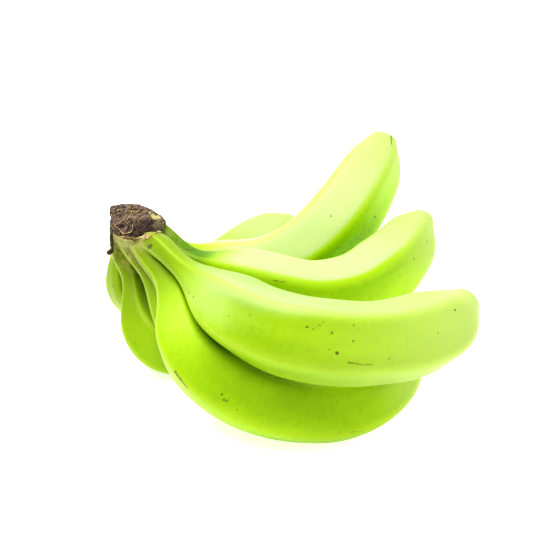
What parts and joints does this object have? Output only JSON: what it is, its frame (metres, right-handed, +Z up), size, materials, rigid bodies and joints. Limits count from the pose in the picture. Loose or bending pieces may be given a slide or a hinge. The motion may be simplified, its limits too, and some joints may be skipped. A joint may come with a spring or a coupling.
{
  "type": "hand of green bananas",
  "caption": "Hand of unripe green bananas fused at a cut brown crown, curved and ridged, lying on its lower row.",
  "frame": {"origin": "centre of the bounding box at its bottom, on the surface that the hand lies on", "axes": "+Z up, +X from the crown towards the blossom ends, -Y towards the side that the picture is taken from"},
  "size_m": [0.1954, 0.24, 0.1127],
  "materials": {
    "peel": "satin",
    "cork": "matte"
  },
  "bodies": {
    "root": {"crown": "cork", "front_upper_banana": "peel", "front_lower_banana": "peel", "second_lower_banana": "peel", "third_lower_banana": "peel", "rear_lower_banana": "peel", "middle_upper_banana": "peel", "rear_upper_banana": "peel"}
  },
  "joints": []
}
